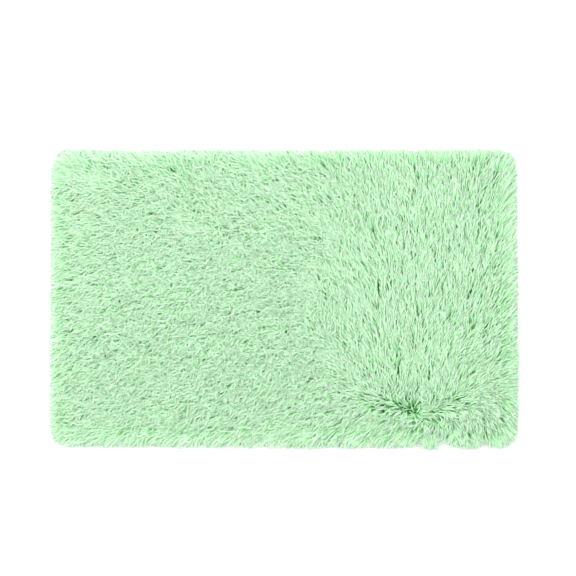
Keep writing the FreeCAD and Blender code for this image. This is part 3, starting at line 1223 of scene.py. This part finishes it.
@dataclass
class Strands:
    """The crimped strands that each lock is twisted from, in millimetres."""

    rng: np.random.Generator
    floor_gap: float
    in_lock: int = 3
    radius: float = 0.58
    slimness: float = 0.5         # how much a gathered lock's strands draw together, as a share
    flatness: float = 0.75        # a lock's thickness, as a share of its width
    twist: float = 2.2            # radians that the strands wind round each other, at most
    unevenness: float = 0.3       # radians that a strand sits off its place in the lock
    lock_range: tuple[float, float] = (0.8, 1.2)        # how wide a lock spreads, as shares
    strand_range: tuple[float, float] = (0.6, 1.15)     # how far from its middle a strand runs
    girth_range: tuple[float, float] = (0.85, 1.15)
    stray_share: float = 0.05     # share of the strands that leave their lock towards the tip
    stray_range: tuple[float, float] = (1.4, 2.6)       # and how far
    own_tone_share: float = 0.5   # share of the strands with a dye tone that isn't their lock's

    KNOTS = (0.0, 0.28, 0.5, 0.68, 0.84, 1.0)           # where a strand has a ring; the last is its tip
    SPREAD = (1.6, 1.45, 1.3, 1.15, 1.05, 1.0)          # from the lock's middle at each, in millimetres
    GIRTH = (0.95, 1.0, 1.05, 1.0, 0.72)                # share of the radius at each ring
    SIDES = 3
    MAP_ACROSS = (0.2, 0.5, 0.8)                        # each side's place in its dye tone on the map

    def spin(self, line: np.ndarray, gather: np.ndarray, knots: np.ndarray, shortest: float,
             paling: float) -> tuple[np.ndarray, np.ndarray, np.ndarray]:
        """Wrap each lock's middle line in its twisted strands.

        Args:
            line: The middle lines of the locks.
            gather: How far each lock is gathered into its wisp.
            knots: The places along a strand, from 0 to 1, where its mesh has a ring. The last is its tip.
            shortest: Length of the shortest strand in a lock, as a share of the longest.
            paling: Power that turns the place along a strand into its place on the map. Under 1, the strand
            turns pale sooner, and less of it carries the painted root shade.

        Returns:
            Points for every strand, as (strands, points, 3), the triangles of one strand, and a map place
            for each point.
        """
        rng = self.rng
        locks, steps = len(line), line.shape[1] - 1
        owner = np.repeat(np.arange(locks), self.in_lock)
        count = len(owner)
        slot = np.tile(np.arange(self.in_lock), locks)
        reach = rng.uniform(shortest, 1.0, count)
        at = knots[None] * reach[:, None] * steps
        low = np.minimum(at.astype(int), steps - 1)
        part = (at - low)[..., None]
        path = line[owner]
        rows = np.arange(count)[:, None]
        centre = path[rows, low] * (1 - part) + path[rows, low + 1] * part
        tangent = to_unit(path[rows, low + 1] - path[rows, low])
        side = np.stack([-tangent[..., 1], tangent[..., 0], np.zeros_like(tangent[..., 0])], axis=-1)
        side /= np.linalg.norm(side, axis=-1, keepdims=True) + 1e-9
        top = np.cross(tangent, side)

        twist = rng.uniform(-self.twist, self.twist, locks)[owner]
        start = rng.uniform(0, FULL_TURN, locks)[owner]
        around = start + slot * (FULL_TURN / self.in_lock) + rng.normal(0, self.unevenness, count)
        fat = rng.uniform(*self.lock_range, locks)[owner] * rng.uniform(*self.strand_range, count)
        fat *= 1 - self.slimness * gather[owner]
        stray = np.where(rng.random(count) < self.stray_share, rng.uniform(*self.stray_range, count), 1.0)
        spread = np.interp(knots, self.KNOTS, self.SPREAD)[None] * fat[:, None]
        spread = spread * (1 + (stray[:, None] - 1) * knots[None] ** 2)
        angle = around[:, None] + twist[:, None] * knots[None]
        centre = centre + side * (np.cos(angle) * spread)[..., None]
        centre = centre + top * (np.sin(angle) * spread * self.flatness)[..., None]
        centre[..., 2] = np.maximum(centre[..., 2], self.floor_gap)

        girth = np.interp(knots[:-1], self.KNOTS[:-1], self.GIRTH) * self.radius
        girth = girth[None] * rng.uniform(*self.girth_range, count)[:, None]
        ring = angle[:, :-1, None] + (np.arange(self.SIDES) * (FULL_TURN / self.SIDES))[None, None]
        points = (centre[:, :-1, None, :]
                  + side[:, :-1, None, :] * (np.cos(ring) * girth[..., None])[..., None]
                  + top[:, :-1, None, :] * (np.sin(ring) * girth[..., None])[..., None])
        rings = len(knots) - 1
        points = np.concatenate([points.reshape(count, rings * self.SIDES, 3), centre[:, -1:, :]], axis=1)
        return points, self.faces(rings), self.dye(owner, knots[:-1], paling)

    def faces(self, rings: int) -> np.ndarray:
        """Close one strand: its foot, its sides and its pointed tip.

        Args:
            rings: How many rings it has below its tip.

        Returns:
            Its triangles, as rows of point numbers.
        """
        sides = self.SIDES
        faces = [(0, 2, 1)]
        for i in range(rings - 1):
            for j in range(sides):
                a, b = i * sides + j, i * sides + (j + 1) % sides
                faces += [(a, b, b + sides), (a, b + sides, a + sides)]
        last = (rings - 1) * sides
        faces += [(last + j, last + (j + 1) % sides, rings * sides) for j in range(sides)]
        return np.array(faces)

    def dye(self, owner: np.ndarray, knots: np.ndarray, paling: float) -> np.ndarray:
        """Lay each strand on the map, inside one dye tone across and from root to tip upwards.

        Args:
            owner: The number of each strand's lock.
            knots: The places of the rings along a strand.
            paling: Power that turns a place along a strand into its place on the map.

        Returns:
            A map place for each point of each strand.
        """
        rng, count, tones = self.rng, len(owner), PolyesterPlush.tones
        tone = rng.integers(0, tones, owner.max() + 1)[owner]
        tone = np.where(rng.random(count) < self.own_tone_share, rng.integers(0, tones, count), tone)
        across = np.array(self.MAP_ACROSS)
        u = (tone[:, None, None] + across[None, None] + np.zeros((1, len(knots), 1))) / tones
        v = np.broadcast_to(0.01 + 0.98 * knots[None, :, None] ** paling, u.shape)
        uv = np.stack([u, v], axis=-1).reshape(count, len(knots) * self.SIDES, 2)
        tip = np.stack([(tone + 0.5) / tones, np.full(count, 0.99)], axis=-1)[:, None]
        return np.concatenate([uv, tip], axis=1)


@dataclass
class Pile:
    """The plush: locks rooted in the ground knit and grown along the combed directions, in millimetres."""

    ground: Outline
    ground_z: float
    crest: float                  # height of the tallest locks over the ground

    # planting
    lock_spacing: float = 3.3
    root_inset: float = 9.5       # the tape covers the ground's edge
    root_jitter: float = 0.38     # how far a root strays from its place, in spacings
    edge_rows: int = 4            # extra rows of roots along the edge
    edge_row_pitch: float = 3.0
    edge_row_jitter: float = 1.5
    crowded: float = 0.15         # how far two lays disagree where the locks stand twice as close
    crowded_jitter: float = 2.0

    # leaning
    wander: float = 7.0           # how far a lay's locks stray past its border with the next
    cross: float = 25.0           # degrees that locks turn aside where two lays meet
    stand: float = 18.0           # degrees that they stand up there
    ruffling: float = 1.3         # how much more neighbours turn at a short range than at a long one
    root_scatter: float = 6.0     # degrees that a lock's slope differs at its root
    tip_scatter: float = 8.0      # and at its tip
    furrow_push: float = 0.6      # how far a furrow turns the locks beside it away

    # wisps
    wisp_spacing: float = 5.2
    filler: float = 0.2           # share of the locks that stand lower, outside any wisp
    filler_height: float = 0.88
    closeness: float = 0.9        # how near a wisp's locks come together at their tips, as a share
    closing: float = 1.4          # how early along its length a lock closes up

    # length and height
    lock_length: float = 41.0
    length_scatter: float = 0.06
    crimp: float = 28.0           # degrees that a lock waves to each side
    crimp_wave: float = 15.0
    swelling: float = 0.03        # how far whole areas differ in height, as a share
    tufting: float = 0.12         # and how far single tufts do
    bend: float = 1.4             # power that turns the risen share into the share of the bend

    # the fringe
    fringe_band: float = 34.0     # how far in from the edge locks begin to belong to the fringe
    fringe_pull: float = 1.15     # how strongly they turn outwards
    fringe_growth: float = 1.3    # how much longer they are, as a share
    fringe_lean: float = 0.3      # how much lower they leave the ground, as a share
    fringe_fall: tuple[float, float] = (0.1, 0.85)      # how much lower they stay, as shares
    fringe_wave: float = 1.2
    corner_turn: float = 40.0     # how far from a corner the way out begins to turn
    hang: float = 21.5            # how far a lock reaches past the ground before it drops
    hang_scatter: float = 0.8
    short_side: float = 0.26      # how much further it reaches at the two short sides, as a share
    skirt_band: float = 9.0       # the outermost locks drop early and fill the side
    skirt_share: float = 0.75
    skirt_cut: tuple[float, float] = (0.1, 0.75)        # how much less they reach, as shares
    tassel: float = 38.0          # width of one clump of the fringe
    tassel_reach: float = 8.0     # how much further its middle hangs out
    tassel_notch: float = 19.0    # and how much less its borders do
    tassel_pull: float = 0.9      # how strongly its locks turn towards its middle
    tassel_growth: float = 45.0   # how much further a lock hangs out that is twice as long
    tassels_from: float = -220.0  # place along the near side where they begin to grow strong
    tassels_over: float = 200.0   # and over how much of it they do
    faint: float = 0.1            # how far the other three sides are drawn into tassels, as a share
    drop_from: float = 0.15       # share of its hang where a lock begins to drop
    drop_over: float = 0.7        # and over how much of it the drop comes on
    drop_slope: float = 84.0      # degrees
    floor_gap: float = 1.4
    floor_scatter: float = 2.2
    seed: int = 50

    STEPS = 22
    HEIGHTS = (2.2, 1.3)          # shape of the beta spread of the heights: most locks stand near the top
    FRINGE_INSET = 20.0           # locks rooted nearer the edge than this are spun with the finer knots
    FRINGE_KNOTS = (0.0, 0.2, 0.36, 0.49, 0.61, 0.73, 0.86, 0.95, 1.0)

    def __post_init__(self) -> None:
        """Draw the random fields that the locks share, each with the width of its waves."""
        self.rng = np.random.default_rng(self.seed)
        self.drift = Unevenness(self.rng, 46.0)
        self.ruffle = Unevenness(self.rng, 15.0)
        self.swell = Unevenness(self.rng, 60.0)
        self.tuft = Unevenness(self.rng, 11.0)
        self.fringe = Unevenness(self.rng, 34.0)
        self.comb = Comb(STROKES_LEFT + STROKES_RIGHT + STROKES_NEAR_RIGHT)
        self.strands = Strands(self.rng, self.floor_gap)

    def plant(self) -> np.ndarray:
        """Set the roots out in jittered staggered rows, closer along the edge and at partings.

        Returns:
            Rows of x and y in millimetres.
        """
        row_pitch = self.lock_spacing * math.sqrt(3) / 2
        columns = np.arange(-self.ground.half_length, self.ground.half_length, self.lock_spacing)
        rows = np.arange(-self.ground.half_width, self.ground.half_width, row_pitch)
        x, y = np.meshgrid(columns, rows)
        x[1::2] += self.lock_spacing / 2
        roots = np.stack([x.ravel(), y.ravel()], axis=1)
        roots += self.rng.uniform(-self.root_jitter, self.root_jitter, roots.shape) * self.lock_spacing
        roots = roots[self.ground.distance(roots) < -self.root_inset]
        border = []
        for row in range(self.edge_rows):
            inset = self.root_inset + self.edge_row_jitter + row * self.edge_row_pitch
            ring = self.ground.inset(inset, 3.0)
            count = int(4 * (ring.half_length + ring.half_width) / (self.lock_spacing * 0.95))
            spots, _ = ring.walk(count)
            border.append(spots + self.rng.uniform(-self.edge_row_jitter, self.edge_row_jitter, spots.shape))
        roots = np.concatenate([roots, *border])
        _, discord, _ = self.comb.at(roots)
        partings = roots[np.maximum(discord, self.comb.parted(roots)) > self.crowded]
        partings += self.rng.uniform(-self.crowded_jitter, self.crowded_jitter, partings.shape)
        return np.concatenate([roots, partings])

    def furrowed(self, roots: np.ndarray, way: np.ndarray) -> tuple[np.ndarray, np.ndarray]:
        """Part the locks at the furrows.

        Args:
            roots: Rows of x and y.
            way: The unit heading at each root.

        Returns:
            The headings turned away from the furrows, and how much each root's pile is lowered.
        """
        low = np.zeros(len(roots))
        way = way.copy()
        for furrow in FURROWS:
            turn = math.radians(furrow.heading)
            along = np.array([math.cos(turn), math.sin(turn)])
            across = np.array([-along[1], along[0]])
            offset = roots - (furrow.x, furrow.y)
            u, v = offset @ along / (furrow.length / 2), offset @ across / furrow.width
            near = np.exp(-u ** 4 - v ** 2)
            wide = np.exp(-u ** 4 - (v / 2) ** 2)
            low = np.maximum(low, near * furrow.depth)
            way += across * (np.tanh(v * 2) * wide * self.furrow_push)[:, None]
        return to_unit(way), low

    def wisps(self, roots: np.ndarray) -> tuple[np.ndarray, np.ndarray]:
        """Sort the locks into the wisps that they close up into.

        Args:
            roots: Rows of x and y.

        Returns:
            The number of each lock's wisp, and the place of that wisp's middle.
        """
        row = np.round(roots[:, 1] / self.wisp_spacing).astype(int)
        shift = 0.5 * (row % 2)
        column = np.round(roots[:, 0] / self.wisp_spacing - shift).astype(int)
        cells = np.stack([column, row], axis=1)
        found, wisp = np.unique(cells, axis=0, return_inverse=True)
        wisp = wisp.ravel()
        shifts = np.stack([0.5 * (found[:, 1] % 2), np.zeros(len(found))], axis=1)
        middle = (found + shifts) * self.wisp_spacing
        middle += self.rng.uniform(-0.25, 0.25, middle.shape) * self.wisp_spacing
        return wisp, middle[wisp]

    def clumped(self, roots: np.ndarray, out: np.ndarray, way: np.ndarray, spill: np.ndarray) -> np.ndarray:
        """Draw the fringe's locks together into tassels.

        They stick out most along the near side, from its middle to its right end, and each to its own
        degree.

        Args:
            roots: Rows of x and y.
            out: The outward direction at each root.
            way: The unit heading at each root, which this turns towards its tassel's middle.
            spill: How far each root belongs to the fringe, from 0 to 1.

        Returns:
            How much further than the others each lock hangs out, in millimetres.
        """
        sideways = np.abs(out[:, 0]) > np.abs(out[:, 1])
        along = np.where(sideways, roots[:, 1], roots[:, 0])
        place = along / self.tassel + 0.9 * self.swell.at(roots)
        part = (place - np.floor(place) - 0.5) * 2
        rightward = smooth_step((roots[:, 0] - self.tassels_from) / self.tassels_over)
        on_near_side = ~sideways & (roots[:, 1] < 0)
        strength = np.where(on_near_side, 0.15 + 0.85 * rightward, self.faint)
        strength *= smooth_step(spill / 0.35)
        strength *= 0.6 + 0.4 * np.sin(np.floor(place) * 2.4)
        pull = -part * strength * self.tassel_pull
        way[:, 0] += np.where(sideways, 0.0, pull)
        way[:, 1] += np.where(sideways, pull, 0.0)
        return strength * (self.tassel_reach - self.tassel_notch * np.abs(part) ** 1.5)

    def habits(self, roots: np.ndarray) -> Habit:
        """Settle how each lock grows, from the comb, the furrows, its wisp and the edge.

        Args:
            roots: Rows of x and y.

        Returns:
            The habit of every lock.
        """
        rng, count = self.rng, len(roots)
        wisp, centre = self.wisps(roots)
        wisp_count = wisp.max() + 1
        strayed = roots + rng.normal(0, self.wander, (wisp_count, 2))[wisp]
        heading, discord, lay = self.comb.at(strayed)
        discord = np.maximum(discord, self.comb.parted(roots))
        drift, scatter, share, layers, slope, tip, curl, gather = lay.T
        scatter = scatter + self.cross * discord
        tip = tip + self.stand * (discord + 2.0 * discord ** 3)
        edge = self.ground.distance(roots)
        spill = np.clip(1 + edge / self.fringe_band, 0, 1) ** 1.5
        stuffing = rng.random(count) < self.filler
        gather = np.where(stuffing, 0.0, gather) * (1 - spill)
        own = rng.normal(0, 1, (count, 4))
        shared = rng.normal(0, 1, (wisp_count, 4))[wisp]
        turned, leaned, curled, reached = (shared * gather[:, None]
                                           + own * np.sqrt(1 - gather[:, None] ** 2)).T

        heading += np.radians(drift) * (self.drift.at(roots) + self.ruffle.at(roots) * self.ruffling)
        heading += np.radians(scatter) * turned
        way, low = self.furrowed(roots, facing(heading))
        out = self.ground.outward(roots, self.corner_turn)
        way = to_unit(way + out * (spill * self.fringe_pull)[:, None])
        tassel = self.clumped(roots, out, way, spill)
        way = to_unit(way)

        shared_height = rng.beta(*self.HEIGHTS, wisp_count)[wisp]
        layer = shared_height * gather + rng.beta(*self.HEIGHTS, count) * (1 - gather)
        uneven = 1 + self.swelling * self.swell.at(roots) + layers * self.tufting * self.tuft.at(roots)
        height = self.crest * share * (1 - layers * (1 - layer)) * uneven
        height = height * np.where(stuffing, self.filler_height, 1.0)
        height *= (1 - low) * (1 - spill * rng.uniform(*self.fringe_fall, count))
        root_slope = np.radians(slope + self.root_scatter * leaned) * (1 - self.fringe_lean * spill)
        tip_slope = np.radians(tip + rng.normal(0, self.tip_scatter, count)) * (1 - spill)
        length = self.lock_length * (1 + self.length_scatter * reached) * (1 + self.fringe_growth * spill)
        phase = rng.uniform(0, FULL_TURN, wisp_count)[wisp] + rng.normal(0, 1, count) * (1.6 - 1.5 * gather)
        hang = self.hang * (1 + self.short_side * out[:, 0] ** 2)
        hang = hang + self.hang_scatter * rng.normal(0, 1, count)
        skirt = (np.clip(1 + (edge + self.root_inset) / self.skirt_band, 0, 1)
                 * (rng.random(count) < self.skirt_share))
        hang = ((hang + self.fringe.at(roots) * self.fringe_wave + tassel)
                * (1 - skirt * rng.uniform(*self.skirt_cut, count)))
        return Habit(heading=np.arctan2(way[:, 1], way[:, 0]), curl=np.radians(curl) * curled,
                     root_slope=root_slope, tip_slope=tip_slope, phase=phase,
                     length=length * (1 + tassel / self.tassel_growth), height=height, hang=hang,
                     lie=self.floor_gap + rng.uniform(0, self.floor_scatter, count),
                     gather=gather, centre=centre)

    def grow(self, roots: np.ndarray, habit: Habit) -> np.ndarray:
        """Grow each lock's middle line step by step, up from the ground, over and along the comb's way.

        Args:
            roots: Rows of x and y.
            habit: How the locks grow.

        Returns:
            The middle lines in millimetres, as (locks, steps + 1, 3).
        """
        line = np.zeros((len(roots), self.STEPS + 1, 3))
        line[:, 0, :2] = roots
        line[:, 0, 2] = self.ground_z
        step = habit.length / self.STEPS
        crimp = np.radians(self.crimp) * (1.1 - 0.6 * habit.gather)     # a gathered lock waves less
        for i in range(self.STEPS):
            spot = line[:, i]
            run = (i + 0.5) / self.STEPS
            level_share = (spot[:, 2] - self.ground_z) / habit.height
            risen = np.clip(level_share, 0, 1) ** self.bend
            levelling = np.clip(3.5 - 2.5 * level_share, 0, 1)          # above its height it stops rising
            pitch = habit.root_slope * (1 - risen) + habit.tip_slope * risen * levelling
            past = np.clip(self.ground.distance(spot[:, :2]) / habit.hang, 0, 1)
            drop = smooth_step((past - self.drop_from) / self.drop_over)
            pitch = pitch * (1 - drop) - math.radians(self.drop_slope) * drop
            wave = crimp * np.sin(run * habit.length / self.crimp_wave * FULL_TURN + habit.phase)
            turn = habit.heading + habit.curl * run + wave * (1 - 0.6 * past)
            level = facing(turn)
            outward = self.ground.outward(spot[:, :2], self.corner_turn / 2)
            leaving = np.maximum((level * outward).sum(axis=1), 0) * smooth_step(past ** 3)
            level -= outward * leaving[:, None]
            move = np.concatenate([level * np.cos(pitch)[:, None], np.sin(pitch)[:, None]], axis=1)
            line[:, i + 1] = spot + move * step[:, None]
            line[:, i + 1, 2] = np.maximum(line[:, i + 1, 2], np.minimum(habit.lie, self.ground_z))
        line = self.cut_short(line, habit.lie)
        drawn = smooth_step(np.linspace(0, 1, self.STEPS + 1) * self.closing)[None, :, None]
        line[..., :2] += ((habit.centre - roots) * (habit.gather * self.closeness)[:, None])[:, None] * drawn
        return line

    def cut_short(self, line: np.ndarray, lie: np.ndarray) -> np.ndarray:
        """End each lock where it first comes down to its lowest height.

        Args:
            line: The middle lines.
            lie: The lowest height for each lock.

        Returns:
            Lines with as many steps, spaced evenly over what is kept.
        """
        landed = (line[..., 2] <= lie[:, None] + 1e-6) & (line[..., 2] < self.ground_z)
        last = np.where(landed.any(axis=1), landed.argmax(axis=1), self.STEPS)
        place = np.linspace(0, 1, self.STEPS + 1)[None] * last[:, None]
        low = np.minimum(place.astype(int), self.STEPS - 1)
        part = (place - low)[..., None]
        rows = np.arange(len(line))[:, None]
        return line[rows, low] * (1 - part) + line[rows, low + 1] * part

    def patch(self, name: str, strands: tuple[np.ndarray, np.ndarray, np.ndarray], members: np.ndarray,
              material: bpy.types.Material) -> bpy.types.Object:
        """Make one piece of some of the strands.

        Args:
            name: The piece's name.
            strands: What spin gave.
            members: The numbers of the strands to take.
            material: The plush.

        Returns:
            The piece.
        """
        points, faces, uv = strands
        offset = np.arange(len(members))[:, None, None] * points.shape[1]
        patch_faces = (faces[None] + offset).reshape(-1, 3)
        patch = mesh_piece(name, points[members].reshape(-1, 3) * MM, patch_faces, material, "plush_pile",
                           uv[members].reshape(-1, 2))
        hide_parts("plush_pile")
        log.info("%s: %d strands, %d triangles", name, len(members), len(patch_faces))
        return patch

    def build(self, columns: int = 6, rows: int = 4, stretches: int = 6) -> list[bpy.types.Object]:
        """Grow the pile and split it into patches.

        Args:
            columns: Patches along the mat.
            rows: Patches across the mat.
            stretches: Patches that the hanging fringe is split into, going round.

        Returns:
            The patches.
        """
        roots = self.plant()
        habit = self.habits(roots)
        line = self.grow(roots, habit)
        hanging = self.ground.distance(roots) > -self.FRINGE_INSET
        material = PolyesterPlush().make()
        patches = []
        top = self.strands.spin(line[~hanging], habit.gather[~hanging], np.array(Strands.KNOTS),
                                shortest=0.84, paling=1.0)
        root = top[0][:, 0, :2]
        by_x = np.array_split(np.argsort(root[:, 0], kind="stable"), columns)
        for i, band in enumerate(by_x):
            by_y = np.array_split(band[np.argsort(root[band, 1], kind="stable")], rows)
            for j, members in enumerate(by_y):
                patches.append(self.patch(f"pile_patch_{i + 1}_{j + 1}", top, members, material))
        fringe = self.strands.spin(line[hanging], habit.gather[hanging], np.array(self.FRINGE_KNOTS),
                                   shortest=0.95, paling=0.75)
        root = fringe[0][:, 0, :2]
        turn = np.arctan2(root[:, 1] / self.ground.half_width, root[:, 0] / self.ground.half_length)
        for i, members in enumerate(np.array_split(np.argsort(turn, kind="stable"), stretches)):
            patches.append(self.patch(f"pile_fringe_{i + 1}", fringe, members, material))
        return patches


# --- The studio -------------------------------------------------------------------------------

@dataclass(frozen=True)
class Softbox:
    """A square soft light that looks at the mat's middle, in metres and watts."""

    name: str
    place: tuple[float, float, float]
    size: float
    power: float


@dataclass
class Studio:
    """A plain pale floor, soft light, and a camera almost straight above the mat."""

    lens: float = 85.0
    frame_width: float = 1024.0     # what the camera takes in across, at the pile's height
    aim: tuple[float, float] = (7.0, 18.0)
    tilt: float = 1.3               # degrees that the camera leans towards the near edge
    floor_half: float = 4.0         # half the floor's width, in metres
    floor_glow: float = 0.2
    room_light: float = 1.12

    SOFTBOXES = (Softbox("left_softbox", (-1.5, 0.8, 2.3), 1.5, 42.0),
                 Softbox("far_softbox", (0.5, 1.5, 2.6), 1.6, 16.0))

    def build(self, pile_z: float) -> None:
        """Make the floor, the lights and the camera.

        Args:
            pile_z: The height that the camera's frame is set at, in millimetres.
        """
        self.floor()
        self.lights()
        self.camera(pile_z)

    def floor(self) -> None:
        """Lay the floor."""
        half = self.floor_half
        mesh = bpy.data.meshes.new("floor")
        mesh.from_pydata([(-half, -half, 0), (half, -half, 0), (half, half, 0), (-half, half, 0)], [],
                         [(0, 1, 2, 3)])
        material, _, shader = new_material("matt_white_backdrop")
        shader.inputs["Base Color"].default_value = linear("#FAFAFA")
        shader.inputs["Roughness"].default_value = 0.9
        shader.inputs["Emission Color"].default_value = linear("#FFFFFF")
        shader.inputs["Emission Strength"].default_value = self.floor_glow
        mesh.materials.append(material)
        floor = bpy.data.objects.new("floor", mesh)
        bpy.context.scene.collection.objects.link(floor)

    def lights(self) -> None:
        """Hang a large soft light at the left and a weaker one over the mat, in a white room."""
        scene = bpy.context.scene
        world = bpy.data.worlds.new("white_room")
        world.use_nodes = True
        sky = world.node_tree.nodes["Background"]
        sky.inputs["Color"].default_value = (1.0, 1.0, 1.0, 1.0)
        sky.inputs["Strength"].default_value = self.room_light
        scene.world = world
        for box in self.SOFTBOXES:
            data = bpy.data.lights.new(box.name, "AREA")
            data.shape, data.size, data.energy = "SQUARE", box.size, box.power
            lamp = bpy.data.objects.new(box.name, data)
            lamp.location = box.place
            lamp.rotation_euler = (-Vector(box.place)).to_track_quat("-Z", "Y").to_euler()
            scene.collection.objects.link(lamp)

    def camera(self, pile_z: float) -> None:
        """Set the camera over the mat.

        Args:
            pile_z: The height that the frame is set at, in millimetres.
        """
        scene = bpy.context.scene
        data = bpy.data.cameras.new("camera")
        data.lens = self.lens
        camera = bpy.data.objects.new("camera", data)
        target = Vector((self.aim[0], self.aim[1], pile_z)) * MM
        far = self.frame_width * MM / 2 / (data.sensor_width / 2 / self.lens)
        lean = math.radians(self.tilt)
        camera.location = target + Vector((0.0, -math.sin(lean), math.cos(lean))) * far
        camera.rotation_euler = (lean, 0.0, 0.0)
        scene.collection.objects.link(camera)
        scene.camera = camera
        scene.view_settings.view_transform = "Standard"


def main() -> None:
    """Build every class in order."""
    logging.basicConfig(level=logging.INFO, format="%(name)s: %(message)s")
    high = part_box("ground_knit")[1] / MM
    ground = Outline(high.x, high.y, LAYERS_CORNER)
    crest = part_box("plush_pile")[1].z / MM
    patches = Pile(ground, high.z, crest - high.z).build()
    log.info("pile: %d patches", len(patches))
    FlatLayers(ground).build(patches)
    binding = Binding(ground)
    GripDots(ground.inset(binding.leg)).build()
    thread = SpunThread().make()
    binding.build(thread)
    CareLabel().build(thread)
    Studio().build(crest)


if __name__ == "__main__":
    main()
